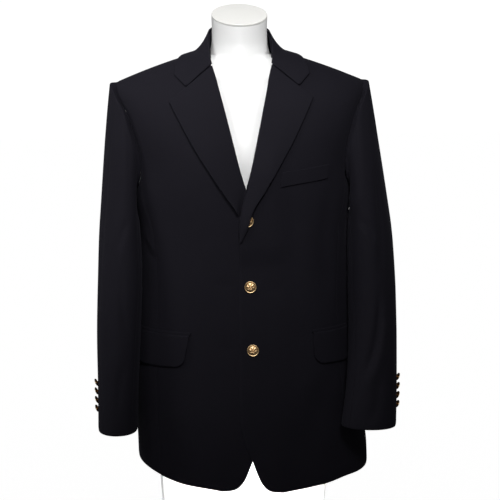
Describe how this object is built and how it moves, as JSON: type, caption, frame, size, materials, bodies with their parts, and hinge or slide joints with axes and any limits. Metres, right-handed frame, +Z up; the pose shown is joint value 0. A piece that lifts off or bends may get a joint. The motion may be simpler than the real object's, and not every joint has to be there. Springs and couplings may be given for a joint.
{
  "type": "blazer on a dress form",
  "caption": "Single-breasted navy blazer with notch lapels, flap pockets and brass buttons, buttoned up on a white limbless dress form.",
  "frame": {"origin": "middle of the dress form's flat underside", "axes": "+Z up along the form, -Y out of the wearer's front, +X towards the wearer's left"},
  "size_m": [0.5649, 0.2903, 0.9933],
  "materials": {
    "navy_cloth": "matte fine worsted twill, nearly black navy",
    "button_brass": "satin brass with a plain raised relief",
    "form_white": "smooth satin white",
    "form_cap": "smooth warm white plate"
  },
  "bodies": {
    "root": {"front_left": "navy_cloth", "front_right": "navy_cloth", "side_left": "navy_cloth", "side_right": "navy_cloth", "back_left": "navy_cloth", "back_right": "navy_cloth", "sleeve_top_left": "navy_cloth", "sleeve_under_left": "navy_cloth", "sleeve_top_right": "navy_cloth", "sleeve_under_right": "navy_cloth", "lapel_left": "navy_cloth", "lapel_right": "navy_cloth", "collar_fall": "navy_cloth", "collar_stand": "navy_cloth", "flap_left": "navy_cloth", "flap_right": "navy_cloth", "jet_left": "navy_cloth", "jet_right": "navy_cloth", "breast_welt": "navy_cloth", "front_button_1": "button_brass", "front_button_2": "button_brass", "front_button_3": "button_brass", "cuff_button_left_1": "button_brass", "cuff_button_left_2": "button_brass", "cuff_button_left_3": "button_brass", "cuff_button_left_4": "button_brass", "cuff_button_right_1": "button_brass", "cuff_button_right_2": "button_brass", "cuff_button_right_3": "button_brass", "cuff_button_right_4": "button_brass", "form_body": "form_white", "form_neck_cap": "form_cap"}
  },
  "joints": []
}
